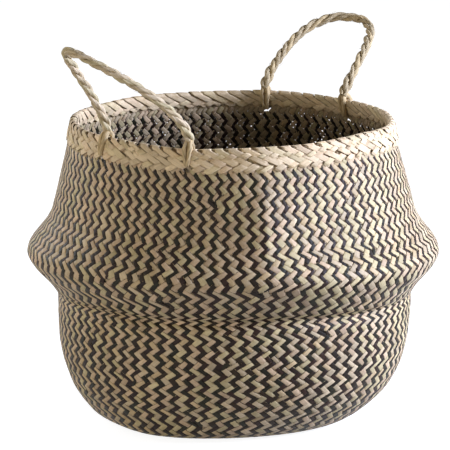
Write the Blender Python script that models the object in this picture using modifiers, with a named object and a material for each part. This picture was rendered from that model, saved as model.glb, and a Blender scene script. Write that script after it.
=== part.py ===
"""Hand-plaited seagrass belly basket with a folded waist, a doubled rim and two rope handles.

Metres, +Z up. The base rests on z = 0. Waist, belly and rim share the Z axis, and the left and right
handles stand at -X and +X.
"""

import math

import bmesh
import bpy
from mathutils import Vector
from mathutils.geometry import interpolate_bezier

# Outer face of the wall, from the rim down to the base
RIM_HEIGHT = 0.2945
RIM_RADIUS = 0.156
NECK_HEIGHT = 0.2105
NECK_RADIUS = 0.175
BELLY_HEIGHT = 0.165
BELLY_RADIUS = 0.200
WAIST_HEIGHT = 0.1245
WAIST_RADIUS = 0.172
BASE_RADIUS = 0.102

# How far the outline keeps its direction on leaving each of those places
NECK_PULL = 0.023
BELLY_PULL_UP = 0.0153
BELLY_PULL_DOWN = 0.0145
WAIST_PULL_UP = 0.019
WAIST_PULL_DOWN = 0.080
BASE_PULL = 0.034

# The base sits a little to one side of the axis, and the lower bowl leans over to meet it
LEAN_OFFSET = 0.009
LEAN_HEIGHT = 0.065
LEAN_AZIMUTH = math.radians(121.5)

# Thickness of the plait and of the strands folded back over it at the rim
WALL = 0.003
BAND_THICKNESS = 0.0016
OUTER_BAND_DROP = 0.0246
INNER_BAND_DROP = 0.0200
EDGE_HEIGHT = 0.005

# Clear distance between neighbouring pieces
SEAT_GAP = 0.0003
LACE_CLEARANCE = 0.0007

# Two plies side by side loop round the rim at each foot of a handle
PLY = 0.0043
PLIES_ABREAST = 2
LACE_DROP = 0.0155
LACE_CORNER = 0.0026
HOLE_LENGTH = 0.020

# Rope handles
ROPE_DIAMETER = 0.0085
HANDLE_SKEW = math.radians(2.5)
FAR_FOOT_PULL = 0.037
FAR_PEAK_PULL = 0.049
NEAR_PEAK_PULL = 0.036
NEAR_FOOT_PULL = 0.046

# The span is the distance between a handle's feet. The rope peaks at a reach outward, a shift towards
# the near foot and a rise up, all measured from the middle of its feet. The climb is the rope's slope at
# the peak, and the tilt is its outward slope at the feet.
HANDLES = {
    "left": {
        "azimuth": math.pi - HANDLE_SKEW,
        "span": 0.095,
        "reach": 0.0635,
        "shift": 0.0405,
        "rise": 0.0816,
        "climb": math.radians(17),
        "tilt": math.radians(27),
    },
    "right": {
        "azimuth": HANDLE_SKEW,
        "span": 0.088,
        "reach": 0.0886,
        "shift": 0.007,
        "rise": 0.054,
        "climb": math.radians(-6),
        "tilt": math.radians(44),
    },
}

# Facets
TURN_STEPS = 48
BEND_POINTS = 7
BOWL_POINTS = 10
EDGE_POINTS = 10
ROPE_POINTS = 14
ROPE_BEVEL_STEPS = 4
PLY_BEVEL_STEPS = 2
CORNER_STEPS = 4
END_STEPS = 4
HOLE_SIDES = 20
SHARP_ANGLE = math.radians(40)
MERGE_DISTANCE = 0.00001

# Colours: natural seagrass, the mixed plait of natural and black, and the pale rope
NATURAL = (0.60, 0.49, 0.32)
MIXED = (0.30, 0.25, 0.19)
PALE = (0.68, 0.57, 0.40)
STRAW_ROUGHNESS = 0.75

# Heights and radii that several pieces share
WALL_TOP = RIM_HEIGHT - EDGE_HEIGHT - SEAT_GAP
WALL_SLOPE = (NECK_RADIUS - RIM_RADIUS) / (WALL_TOP - NECK_HEIGHT)
STACK_HALF_WIDTH = WALL / 2 + SEAT_GAP + BAND_THICKNESS
LACE_HEIGHT = RIM_HEIGHT - LACE_DROP
CROWN_HEIGHT = RIM_HEIGHT + SEAT_GAP + PLY / 2
HINGE_HEIGHT = CROWN_HEIGHT + PLY / 2 + SEAT_GAP + ROPE_DIAMETER / 2


def clear_scene():
    for obj in list(bpy.data.objects):
        bpy.data.objects.remove(obj, do_unlink=True)


def new_collection(name):
    collection = bpy.data.collections.new(name)
    bpy.context.scene.collection.children.link(collection)
    return collection


def straw(name, colour):
    """One straw material per piece."""
    material = bpy.data.materials.new(name)
    material.use_nodes = True
    shader = material.node_tree.nodes["Principled BSDF"]
    shader.inputs["Base Color"].default_value = (*colour, 1.0)
    shader.inputs["Roughness"].default_value = STRAW_ROUGHNESS
    shader.inputs["Metallic"].default_value = 0.0
    return material


def add_piece(name, data, colour):
    obj = bpy.data.objects.new(name, data)
    obj.data.materials.append(straw(name + "_straw", colour))
    PARTS.objects.link(obj)
    return obj


def wall_radius(height):
    """Outer radius of the straight wall between the neck and the rim."""
    return RIM_RADIUS + WALL_SLOPE * (WALL_TOP - height)


def middle_radius(height):
    """Radius of the middle of the wall's thickness, also carried on above the wall."""
    return wall_radius(height) - WALL / 2


FOOT_RADIUS = middle_radius(RIM_HEIGHT)


def bend(start, start_pull, end_pull, end, count):
    """Points (radius, height) of a smooth bend that leaves start and reaches end by the two pulls."""
    knots = [Vector((radius, 0.0, height)) for radius, height in (start, start_pull, end_pull, end)]
    return [(point.x, point.z) for point in interpolate_bezier(*knots, count)]


def upper_outline():
    """The wall from the rim, straight down to the neck and round the top of the belly."""
    down = Vector((WALL_SLOPE, -1.0)).normalized() * NECK_PULL
    neck = (NECK_RADIUS, NECK_HEIGHT)
    leave_neck = (NECK_RADIUS + down.x, NECK_HEIGHT + down.y)
    above_belly = (BELLY_RADIUS, BELLY_HEIGHT + BELLY_PULL_UP)
    belly = (BELLY_RADIUS, BELLY_HEIGHT + SEAT_GAP)
    return [(RIM_RADIUS, WALL_TOP)] + bend(neck, leave_neck, above_belly, belly, BEND_POINTS)


def fold_outline():
    """The underside of the belly, tucked in to the waist."""
    belly = (BELLY_RADIUS, BELLY_HEIGHT)
    below_belly = (BELLY_RADIUS, BELLY_HEIGHT - BELLY_PULL_DOWN)
    above_waist = (WAIST_RADIUS, WAIST_HEIGHT + WAIST_PULL_UP)
    waist = (WAIST_RADIUS, WAIST_HEIGHT + SEAT_GAP)
    return bend(belly, below_belly, above_waist, waist, BEND_POINTS)


def bowl_outline():
    """The lower bowl, from the waist round to the flat base."""
    waist = (WAIST_RADIUS, WAIST_HEIGHT)
    below_waist = (WAIST_RADIUS, WAIST_HEIGHT - WAIST_PULL_DOWN)
    beside_base = (BASE_RADIUS + BASE_PULL, 0.0)
    base = (BASE_RADIUS, 0.0)
    return bend(waist, below_waist, beside_base, base, BOWL_POINTS)


def inner_face(outline, plumb_foot=False):
    """The outline moved in by the wall's thickness, cut level at its ends, or plumb at the base."""
    inner = []
    last = len(outline) - 1
    for index, (radius, height) in enumerate(outline):
        if index == last and plumb_foot:
            inner.append((radius, height + WALL))
        elif index in (0, last):
            inner.append((radius - WALL, height))
        else:
            along = (Vector(outline[index + 1]) - Vector(outline[index - 1])).normalized()
            inner.append((radius + WALL * along.y, height - WALL * along.x))
    return inner


def turned(name, profile, colour):
    """A closed profile, outer side first and downwards, turned once round the Z axis."""
    count = len(profile)
    mesh = bpy.data.meshes.new(name)
    points = [(radius, 0.0, height) for radius, height in profile]
    edges = [(index, (index + 1) % count) for index in range(count)]
    mesh.from_pydata(points, edges, [])
    obj = add_piece(name, mesh, colour)
    screw = obj.modifiers.new("turn", "SCREW")
    screw.axis = "Z"
    screw.angle = math.tau
    screw.steps = TURN_STEPS
    screw.render_steps = TURN_STEPS
    screw.use_merge_vertices = True
    screw.merge_threshold = MERGE_DISTANCE
    screw.use_smooth_shade = True
    return obj


def shell(name, outline, colour, plumb_foot=False):
    """A wall piece: the outline is its outer face."""
    inside = inner_face(outline, plumb_foot)
    return turned(name, outline + inside[::-1], colour)


def lean_to_base(obj):
    """Move a low piece over, more the lower it is, so that the base sits off the axis."""
    depsgraph = bpy.context.evaluated_depsgraph_get()
    mesh = bpy.data.meshes.new_from_object(obj.evaluated_get(depsgraph))
    side = Vector((math.cos(LEAN_AZIMUTH), math.sin(LEAN_AZIMUTH), 0.0))
    for vertex in mesh.vertices:
        below = max(0.0, 1.0 - vertex.co.z / LEAN_HEIGHT)
        vertex.co += side * LEAN_OFFSET * below ** 2
    mesh.shade_smooth()
    mesh.set_sharp_from_angle(angle=SHARP_ANGLE)
    obj.modifiers.clear()
    obj.data = mesh


def base_mat():
    """The flat square-plaited floor, as a disc inside the foot of the bowl."""
    mesh = bpy.data.meshes.new("base_mat")
    disc = bmesh.new()
    radius = BASE_RADIUS - SEAT_GAP
    bmesh.ops.create_cone(
        disc,
        cap_ends=True,
        segments=TURN_STEPS,
        radius1=radius,
        radius2=radius,
        depth=WALL,
    )
    bmesh.ops.translate(disc, verts=disc.verts, vec=(0.0, 0.0, WALL / 2))
    disc.to_mesh(mesh)
    disc.free()
    lean_to_base(add_piece("base_mat", mesh, MIXED))


def rim_band(name, inner_offset, outer_offset, drop):
    """Strands folded back over the wall, between two offsets from the middle of its thickness."""
    low = RIM_HEIGHT - drop
    profile = [
        (middle_radius(WALL_TOP) + outer_offset, WALL_TOP),
        (middle_radius(low) + outer_offset, low),
        (middle_radius(low) + inner_offset, low),
        (middle_radius(WALL_TOP) + inner_offset, WALL_TOP),
    ]
    return turned(name, profile, NATURAL)


def rim_edge():
    """The rolled edge on top of the wall, as wide as the wall with both bands."""
    centre = RIM_HEIGHT - EDGE_HEIGHT / 2
    profile = []
    for step in range(EDGE_POINTS):
        angle = math.pi / 2 - math.tau * step / EDGE_POINTS
        radius = middle_radius(centre) + STACK_HALF_WIDTH * math.cos(angle)
        profile.append((radius, centre + EDGE_HEIGHT / 2 * math.sin(angle)))
    return turned("rim_edge", profile, NATURAL)


def add_tube(name, points, thickness, bevel, colour, closed=False):
    """A tube along (position, radius factor) points."""
    curve = bpy.data.curves.new(name, "CURVE")
    curve.dimensions = "3D"
    curve.bevel_depth = thickness / 2
    curve.bevel_resolution = bevel
    curve.use_fill_caps = not closed
    spline = curve.splines.new("POLY")
    spline.points.add(len(points) - 1)
    for knot, (position, factor) in zip(spline.points, points):
        knot.co = (*position, 1.0)
        knot.radius = factor
    spline.use_cyclic_u = closed
    return add_piece(name, curve, colour)


def lace_loop():
    """Middle line of a loop round the rim, in the foot's own radial plane."""
    half_width = STACK_HALF_WIDTH + LACE_CLEARANCE + PLY / 2
    side = half_width - LACE_CORNER
    top = CROWN_HEIGHT - LACE_CORNER
    bottom = LACE_HEIGHT + LACE_CORNER
    corners = ((side, top, 0), (-side, top, 1), (-side, bottom, 2), (side, bottom, 3))
    points = []
    for across, height, quarter in corners:
        for step in range(CORNER_STEPS + 1):
            angle = math.pi / 2 * (quarter + step / CORNER_STEPS)
            level = height + LACE_CORNER * math.sin(angle)
            radius = middle_radius(level) + across + LACE_CORNER * math.cos(angle)
            points.append((Vector((radius - FOOT_RADIUS, 0.0, level - RIM_HEIGHT)), 1.0))
    return points


def lace_eye(name, azimuth):
    """The opened plies that tie one foot of a handle round the rim, wider than they are thick."""
    eye = add_tube(name, lace_loop(), PLY, PLY_BEVEL_STEPS, PALE, closed=True)
    eye.location = (FOOT_RADIUS * math.cos(azimuth), FOOT_RADIUS * math.sin(azimuth), RIM_HEIGHT)
    eye.rotation_euler = (0.0, 0.0, azimuth)
    eye.scale = (1.0, PLIES_ABREAST, 1.0)


def lace_cutter(azimuth):
    """Cuts the hole that the plies go through, under the rim."""
    half_height = PLY / 2 + LACE_CLEARANCE
    half_width = PLIES_ABREAST * PLY / 2 + LACE_CLEARANCE
    mesh = bpy.data.meshes.new("lace_cutter")
    rod = bmesh.new()
    bmesh.ops.create_cone(
        rod,
        cap_ends=True,
        segments=HOLE_SIDES,
        radius1=half_height,
        radius2=half_height,
        depth=HOLE_LENGTH,
    )
    rod.to_mesh(mesh)
    rod.free()
    cutter = bpy.data.objects.new("lace_cutter", mesh)
    CUTTERS.objects.link(cutter)
    radius = middle_radius(LACE_HEIGHT)
    cutter.location = (radius * math.cos(azimuth), radius * math.sin(azimuth), LACE_HEIGHT)
    cutter.rotation_euler = (0.0, math.pi / 2, azimuth)
    cutter.scale = (1.0, half_width / half_height, 1.0)
    cutter.hide_render = True
    cutter.display_type = "WIRE"


def cut_lace_holes(obj):
    holes = obj.modifiers.new("lace_holes", "BOOLEAN")
    holes.operation = "DIFFERENCE"
    holes.solver = "EXACT"
    holes.operand_type = "COLLECTION"
    holes.collection = CUTTERS


def rounded_end(foot, outwards):
    """Points of the ball that ends a rope at its foot, from the tip to the full thickness."""
    points = []
    for step in range(1, END_STEPS + 1):
        angle = math.pi / 2 * step / (END_STEPS + 1)
        position = foot + outwards * (ROPE_DIAMETER / 2 * math.cos(angle))
        points.append((position, math.sin(angle)))
    return points


def handle_rope(name, handle):
    """An arch of rope that turns about the line through its two feet."""
    half_span = handle["span"] / 2
    far = Vector((0.0, half_span, 0.0))
    near = Vector((0.0, -half_span, 0.0))
    peak = Vector((handle["reach"], -handle["shift"], handle["rise"]))
    rising = Vector((math.sin(handle["tilt"]), 0.0, math.cos(handle["tilt"])))
    crossing = Vector((0.0, -math.cos(handle["climb"]), math.sin(handle["climb"])))
    leave_far = far + rising * FAR_FOOT_PULL
    reach_peak = peak - crossing * FAR_PEAK_PULL
    leave_peak = peak + crossing * NEAR_PEAK_PULL
    reach_near = near + rising * NEAR_FOOT_PULL
    route = interpolate_bezier(far, leave_far, reach_peak, peak, ROPE_POINTS)
    route += interpolate_bezier(peak, leave_peak, reach_near, near, ROPE_POINTS)[1:]
    points = rounded_end(far, -rising)
    points += [(position, 1.0) for position in route]
    points += rounded_end(near, -rising)[::-1]
    rope = add_tube(name, points, ROPE_DIAMETER, ROPE_BEVEL_STEPS, PALE)
    middle = math.sqrt(FOOT_RADIUS ** 2 - half_span ** 2)
    azimuth = handle["azimuth"]
    rope.location = (middle * math.cos(azimuth), middle * math.sin(azimuth), HINGE_HEIGHT)
    rope.rotation_euler = (0.0, 0.0, azimuth)


def build_body():
    base_mat()
    lean_to_base(shell("lower_bowl", bowl_outline(), MIXED, plumb_foot=True))
    shell("fold_band", fold_outline(), MIXED)
    wall = shell("belly_wall", upper_outline(), MIXED)
    near_face = WALL / 2 + SEAT_GAP
    outer = rim_band("rim_band_outer", near_face, STACK_HALF_WIDTH, OUTER_BAND_DROP)
    inner = rim_band("rim_band_inner", -STACK_HALF_WIDTH, -near_face, INNER_BAND_DROP)
    rim_edge()
    return wall, outer, inner


def build_handles():
    for side, handle in HANDLES.items():
        handle_rope(side + "_handle_rope", handle)
        half_turn = math.asin(handle["span"] / 2 / FOOT_RADIUS)
        for foot, turn in (("near", -half_turn), ("far", half_turn)):
            azimuth = handle["azimuth"] + turn
            lace_eye(side + "_handle_" + foot + "_eye", azimuth)
            lace_cutter(azimuth)


clear_scene()
PARTS = new_collection("seagrass_belly_basket")
CUTTERS = new_collection("cutters")
laced_pieces = build_body()
build_handles()
for piece in laced_pieces:
    cut_lace_holes(piece)
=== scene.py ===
import math

import bpy
import numpy as np
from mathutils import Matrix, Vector
from mathutils.geometry import interpolate_bezier

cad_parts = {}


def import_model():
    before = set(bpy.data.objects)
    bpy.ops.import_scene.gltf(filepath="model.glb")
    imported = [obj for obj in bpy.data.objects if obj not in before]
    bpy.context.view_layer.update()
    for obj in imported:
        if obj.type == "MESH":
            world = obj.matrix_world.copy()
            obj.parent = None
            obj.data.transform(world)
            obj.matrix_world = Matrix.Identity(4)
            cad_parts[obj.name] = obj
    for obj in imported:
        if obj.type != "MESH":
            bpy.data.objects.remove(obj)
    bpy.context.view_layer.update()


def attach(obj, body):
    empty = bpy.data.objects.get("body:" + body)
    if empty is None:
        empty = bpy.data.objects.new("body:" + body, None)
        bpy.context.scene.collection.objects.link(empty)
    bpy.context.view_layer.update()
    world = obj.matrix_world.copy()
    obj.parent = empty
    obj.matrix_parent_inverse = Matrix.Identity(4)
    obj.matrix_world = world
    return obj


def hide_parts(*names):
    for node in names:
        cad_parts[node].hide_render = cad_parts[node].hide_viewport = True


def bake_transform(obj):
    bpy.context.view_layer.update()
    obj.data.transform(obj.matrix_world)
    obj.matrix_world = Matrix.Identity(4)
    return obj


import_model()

# Camera, as the photograph shows the basket: nearly level, from far away
VIEW_AZIMUTH = math.radians(-58.5)
VIEW_ELEVATION = math.radians(10.8)
VIEW_DISTANCE = 15.0
VIEW_WIDTH = 0.43647
VIEW_CENTRE = Vector((0.0, 0.0, 0.165))
VIEW_RIGHT = -0.00727
VIEW_UP = 0.02415
SENSOR = 36.0

# Outer face of the wall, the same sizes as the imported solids
RIM_HEIGHT = 0.2945
WALL_TOP = 0.2892
RIM_RADIUS = 0.156
NECK = (0.175, 0.2105)
BELLY = (0.200, 0.165)
WAIST = (0.172, 0.1245)
BASE_RADIUS = 0.102
NECK_PULL = 0.023
BELLY_PULL_UP = 0.0153
BELLY_PULL_DOWN = 0.0100
WAIST_PULL_UP = 0.0060
WAIST_PULL_DOWN = 0.080
BASE_PULL = 0.034
WALL = 0.003
WALL_SLOPE = (NECK[0] - RIM_RADIUS) / (WALL_TOP - NECK[1])
LEAN_OFFSET = 0.009
LEAN_HEIGHT = 0.065
LEAN_AZIMUTH = math.radians(121.5)
BASE_OVERLAP = 0.020
LINE_STEP = 0.0005
GRID_STEP = 0.001
CORNER_AZIMUTH = math.radians(9.5)
CORNER_REACH = 0.50
CORNER_ROUND = 0.012
CORNER_HEIGHT = 0.0118
CORNER_RISE = (0.152, 0.040)
CORNER_FADE = (0.72, 0.235, 0.055)
# The base is a little square: flatter and wider to the front left, in angles from the front
BASE_CORNER = (-1.15, 0.62, -0.50, 1.15)
BASE_FLAT = 0.72
BASE_SOFT = 0.014
BASE_WIDER = 0.0025
BASE_BULGE = (0.006, 0.016)
BASE_BLEND = 0.02
BASE_CELL = 0.0066
BASE_ROW = 0.0030
BASE_MARGIN = 0.004
BASE_REACH = 40
BASE_LOWEST = 0.00025

# Plait: columns of natural and black floats, added one by one towards the rim
FRONT_AZIMUTH = math.radians(211.5)
COLUMN_COUNT = (
    (0.0, 56), (0.035, 63), (0.052, 67), (0.070, 71), (0.086, 75), (0.102, 79), (0.1245, 80),
    (0.140, 81), (0.156, 86), (0.171, 91), (0.185, 92), (0.225, 95), (0.270, 96),
)
TOP_COLUMNS = 96
GOLDEN = 0.6180339887
# Widths of strands: mean, spread and limits
STRAND_WIDTH = (0.99, 0.10, 0.76, 1.20)
BASE_WIDTH = (0.96, 0.04, 0.8, 1.02)
NATURAL_SHARE = (0.05, 0.06, 0.13, 0.19)
SLIM_BLACK = 0.11
SLIM_FROM, FULL_FROM = 0.14, 0.5
WIDE_LIFT = 0.0005
COLOUR_LIFT = (0.00004, -0.00003)
BAND_HEIGHT = (
    (0.0, 0.0062), (0.050, 0.0062), (0.090, 0.0060), (0.113, 0.0052), (0.1235, 0.0026), (0.127, 0.0026),
    (0.132, 0.0066), (0.137, 0.0084), (0.158, 0.0084), (0.175, 0.0070), (0.200, 0.0064), (0.290, 0.0065),
)
CREASE_DEPTH = 0.0046
CREASE_HALF_HEIGHT = 0.0048
CREASE_SIDES = (0.15, 0.6)
SOFT_FOLD = (0.0016, 0.140, 0.008)
# Unevenness of the upper wall: rim waves as height, angle from the front and half width; the fold's lobe
UNEVEN_FROM, UNEVEN_OVER = 0.20, 0.09
RIM_WAVES = ((0.0020, 0.85, 0.30), (-0.0012, -0.25, 0.25))
LOBE_HEIGHT, LOBE_HALF = 0.14, 0.02
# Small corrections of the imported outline: height, added radius, shift to the right of the photograph
FULLNESS = (
    (0.0, 0.0, 0.0), (0.018, 0.0, 0.0), (0.035, 0.0020, 0.0), (0.060, 0.0022, 0.0002), (0.080, 0.0016, 0.0008),
    (0.095, 0.0006, 0.0014), (0.110, 0.0002, 0.0019), (0.135, 0.0, 0.0020), (0.165, 0.0005, 0.0006),
    (0.190, 0.0008, 0.0011), (0.225, 0.0008, 0.0011), (0.255, 0.0004, 0.0004), (0.2945, 0.0003, -0.0003),
)

# Handles: azimuth, span, reach, shift, rise, climb and tilt; their plies go through holes under the rim
FOOT_RADIUS = RIM_RADIUS + WALL_SLOPE * (WALL_TOP - RIM_HEIGHT) - WALL / 2
HANDLE_SKEW = math.radians(2.5)
HANDLES = {
    "left": (math.pi - HANDLE_SKEW, 0.095, 0.0635, 0.0405, 0.0816, math.radians(17), math.radians(27)),
    "right": (HANDLE_SKEW, 0.088, 0.0886, 0.007, 0.054, math.radians(-6), math.radians(44)),
}
EYE_AZIMUTHS = {}
for side, numbers in HANDLES.items():
    half_turn = math.asin(numbers[1] / 2 / FOOT_RADIUS)
    EYE_AZIMUTHS[side + "_handle_near_eye"] = numbers[0] - half_turn
    EYE_AZIMUTHS[side + "_handle_far_eye"] = numbers[0] + half_turn
HOLE_HEIGHT = 0.2738
HOLE_SIZE = 0.0034

RNG = np.random.default_rng(4136)


def unit(vectors):
    return vectors / np.linalg.norm(vectors, axis=-1, keepdims=True)


def smooth(t):
    t = np.clip(t, 0.0, 1.0)
    return t * t * (3.0 - 2.0 * t)


def varied(rng, mean, spread, low, high, shape):
    """Random values round a mean, kept between two limits."""
    return np.clip(rng.normal(mean, spread, shape), low, high)


def waves(length, parts):
    """Sum of sine waves along a rope: size, wave length and phase of each."""
    return sum(size * np.sin(length / wave + phase) for size, wave, phase in parts)


def off_holes(angle, height):
    """False for places in a lacing hole."""
    free = np.ones(np.shape(angle), bool)
    for azimuth in EYE_AZIMUTHS.values():
        aside = (np.mod(angle - azimuth + math.pi, math.tau) - math.pi) * RIM_RADIUS
        free &= np.hypot(aside, height - HOLE_HEIGHT) > HOLE_SIZE
    return free


def bend(points, count):
    """Points of one Bezier bend in the (radius, height) plane."""
    knots = [Vector((radius, 0.0, height)) for radius, height in points]
    return [(point.x, point.z) for point in interpolate_bezier(*knots, count)]


def outline():
    """The outer face from under the base up to the top of the wall, evenly spaced, with its length."""
    down = Vector((WALL_SLOPE, -1.0)).normalized() * NECK_PULL
    neck_below = (NECK[0] + down.x, NECK[1] + down.y)
    belly_above, belly_below = (BELLY[0], BELLY[1] + BELLY_PULL_UP), (BELLY[0], BELLY[1] - BELLY_PULL_DOWN)
    waist_above, waist_below = (WAIST[0], WAIST[1] + WAIST_PULL_UP), (WAIST[0], WAIST[1] - WAIST_PULL_DOWN)
    upper = bend((NECK, neck_below, belly_above, BELLY), 60)
    fold = bend((BELLY, belly_below, waist_above, WAIST), 60)
    bowl = bend((WAIST, waist_below, (BASE_RADIUS + BASE_PULL, 0.0), (BASE_RADIUS, 0.0)), 120)
    top = (RIM_RADIUS - WALL_SLOPE * (RIM_HEIGHT - WALL_TOP), RIM_HEIGHT)
    line = [top, (RIM_RADIUS, WALL_TOP)] + upper + fold[1:] + bowl[1:] + [(BASE_RADIUS - BASE_OVERLAP, 0.0)]
    line = np.array(line[::-1])
    length = np.concatenate([[0.0], np.cumsum(np.linalg.norm(np.diff(line, axis=0), axis=1))])
    even = np.arange(0.0, length[-1], LINE_STEP)
    radius = np.interp(even, length, line[:, 0])
    height = np.interp(even, length, line[:, 1])
    radius = radius + np.interp(height, *np.array(FULLNESS).T[:2])
    return even - BASE_OVERLAP, radius, height


S_LINE, R_LINE, Z_LINE = outline()
kernel = np.hanning(15)
kernel /= kernel.sum()
tangent = np.stack([np.gradient(R_LINE), np.gradient(Z_LINE)], axis=1)
tangent = np.stack([np.convolve(np.pad(tangent[:, i], 7, "edge"), kernel, "valid") for i in (0, 1)], axis=1)
tangent = unit(tangent)
NR_LINE, NZ_LINE = tangent[:, 1], -tangent[:, 0]
S_TOP = np.interp(WALL_TOP, Z_LINE[len(Z_LINE) // 4:], S_LINE[len(Z_LINE) // 4:])


def length_at(height):
    """Length along the outline at a height."""
    start = int(BASE_OVERLAP / LINE_STEP)
    return np.interp(height, Z_LINE[start:], S_LINE[start:])


# Azimuth of every cell boundary at every length along the outline
CELLS = 2 * TOP_COLUMNS
S_GRID = np.arange(-BASE_OVERLAP, S_LINE[-1] + 4 * GRID_STEP, GRID_STEP)


def cell_map():
    counts = np.interp(S_GRID, [length_at(h) for h, n in COLUMN_COUNT], [n for h, n in COLUMN_COUNT])
    weight = np.ones((len(S_GRID), TOP_COLUMNS))
    added = TOP_COLUMNS - COLUMN_COUNT[0][1]
    taken = set()
    for index in range(added):
        start = np.interp(COLUMN_COUNT[0][1] + index + 0.5, counts + np.arange(len(counts)) * 1e-9, S_GRID)
        column = int((GOLDEN * index + 0.37) % 1.0 * TOP_COLUMNS)
        while column in taken or (column + 1) % TOP_COLUMNS in taken or column - 1 in taken:
            column = (column + 1) % TOP_COLUMNS
            if len(taken) > 30 and column not in taken:
                break
        taken.add(column)
        spread = RNG.uniform(0.018, 0.030)
        weight[:, column] = smooth((S_GRID - start) / spread + 0.5)
    cell = np.repeat(weight, 2, axis=1)
    knots = [0.0, length_at(WAIST[1]), length_at(BELLY[1]), S_TOP]
    share = np.interp(S_GRID, knots, NATURAL_SHARE)
    seen = (np.arange(TOP_COLUMNS) + 0.5) / TOP_COLUMNS * math.tau - math.pi
    aside = smooth((seen - 0.15) / 0.4) * (1.0 - smooth((seen - 2.0) / 0.7))
    above = smooth((S_GRID - length_at(WAIST[1])) / 0.06)
    share = share[:, None] + SLIM_BLACK * above[:, None] * aside[None, :]
    cell[:, 0::2] *= 1.0 + share
    cell[:, 1::2] *= 1.0 - share
    edges = np.concatenate([np.zeros((len(S_GRID), 1)), np.cumsum(cell, axis=1)], axis=1)
    angle = edges / edges[:, -1:] * math.tau
    drift = (angle - angle[-1]).mean(axis=1, keepdims=True)
    full = math.tau / edges[:, -1:]
    natural, black = full * (1.0 + share), full * (1.0 - share)
    return angle - drift + FRONT_AZIMUTH - math.pi, weight, natural, black


ANGLE, COLUMN_WEIGHT, NATURAL_WIDTH, BLACK_WIDTH = cell_map()


def azimuth_at(x, s):
    """Azimuth of cell coordinate x at length s."""
    row = (s - S_GRID[0]) / GRID_STEP
    row = np.clip(row, 0, len(S_GRID) - 1.001)
    low = row.astype(int)
    part = row - low
    edge = x + 0.5
    index = np.floor(edge).astype(int)
    fraction = edge - index
    turn = index // CELLS
    index = index % CELLS

    def read(r):
        return ANGLE[r, index] * (1 - fraction) + ANGLE[r, index + 1] * fraction

    return read(low) * (1 - part) + read(low + 1) * part + turn * math.tau


def row_lengths():
    """Length along the outline at the lower edge of each row; two rows make a band."""
    at = [length_at(height) for height, band in BAND_HEIGHT]
    size = [band for height, band in BAND_HEIGHT]
    edges = [-0.006]
    while edges[-1] < S_TOP + 0.004:
        edges.append(edges[-1] + np.interp(edges[-1], at, size) / 2)
    return np.array(edges)


ROWS = row_lengths()


def wall_placer(wide):
    """Places lattice coordinates on the wall; wide is the angle of one cell for each float."""
    def place(x, dx, y, offset):
        s = row_length(y)
        return surface(s, azimuth_at(x, s) + dx * wide[:, None, None], offset)
    return place


def row_length(y):
    """Length along the outline at row coordinate y, also a little past either end."""
    index = np.arange(len(ROWS))
    s = np.interp(y, index, ROWS)
    s = np.where(y < 0, ROWS[0] + y * (ROWS[1] - ROWS[0]), s)
    return np.where(y > index[-1], ROWS[-1] + (y - index[-1]) * (ROWS[-1] - ROWS[-2]), s)


def surface(s, angle, offset):
    radius = np.interp(s, S_LINE, R_LINE)
    height = np.interp(s, S_LINE, Z_LINE)
    beyond = np.maximum(s - S_LINE[-1], 0.0)
    nr = np.interp(s, S_LINE, NR_LINE)
    nz = np.interp(s, S_LINE, NZ_LINE)
    seen = np.mod(angle - FRONT_AZIMUTH + math.pi, math.tau) - math.pi
    start, rising, end, falling = BASE_CORNER
    spread = smooth((seen - start) / rising) * (1.0 - smooth((seen - end) / falling))
    flat = BASE_FLAT * spread * np.exp(-(height / BASE_SOFT) ** 2)
    bulge = np.exp(-((height - BASE_BULGE[0]) / BASE_BULGE[1]) ** 2)
    wider = BASE_WIDER * spread * bulge * smooth(s / BASE_BLEND)
    radius = radius + nr * (offset - WALL / 2) - beyond * nz + wider
    height = height * (1.0 - flat) + nz * (offset - WALL / 2) + beyond * nr
    sharp = smooth((np.abs(np.cos(angle - FRONT_AZIMUTH)) - CREASE_SIDES[0]) / CREASE_SIDES[1])
    pinch = CREASE_DEPTH * np.exp(-((height - WAIST[1]) / CREASE_HALF_HEIGHT) ** 2)
    hollow = SOFT_FOLD[0] * np.exp(-((height - SOFT_FOLD[1]) / SOFT_FOLD[2]) ** 2)
    radius = radius - sharp * pinch - (1.0 - sharp) * hollow
    return settle(np.stack([radius * np.cos(angle), radius * np.sin(angle), height], axis=-1), angle)


def settle(points, angle):
    """The lower bowl leans to meet the base, and the soft wall is a little uneven."""
    z = points[..., 2]
    below = np.maximum(0.0, 1.0 - z / LEAN_HEIGHT) ** 2 * LEAN_OFFSET
    heights, _, shifts = np.array(FULLNESS).T
    across = np.interp(z, heights, shifts)
    points[..., 0] += below * math.cos(LEAN_AZIMUTH) + across * math.cos(VIEW_AZIMUTH)
    points[..., 1] += below * math.sin(LEAN_AZIMUTH) + across * math.sin(VIEW_AZIMUTH)
    seen = angle - FRONT_AZIMUTH
    turn = np.mod(seen - CORNER_AZIMUTH + math.pi, math.tau) - math.pi
    tent = np.clip(1.0 - np.sqrt(turn ** 2 + CORNER_ROUND ** 2) / CORNER_REACH, 0.0, 1.0) ** 2
    swell = CORNER_HEIGHT * tent * smooth((z - CORNER_RISE[0]) / CORNER_RISE[1])
    swell = swell * (1.0 - CORNER_FADE[0] * smooth((z - CORNER_FADE[1]) / CORNER_FADE[2]))
    points[..., 0] += swell * np.cos(angle)
    points[..., 1] += swell * np.sin(angle)
    up = smooth((z - UNEVEN_FROM) / UNEVEN_OVER)
    lift = 0.0006 * np.sin(3 * angle + 1.0) + 0.0005 * np.sin(7 * angle)
    for height, middle, half in RIM_WAVES:
        lift += height * np.exp(-((np.mod(seen - middle + math.pi, math.tau) - math.pi) / half) ** 2)
    points[..., 2] += up * lift
    lobe = np.exp(-((z - LOBE_HEIGHT) / LOBE_HALF) ** 2)
    points[..., 2] += lobe * (0.0012 * np.cos(2 * seen) + 0.0008 * np.sin(5 * angle + 0.6))
    return points


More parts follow.
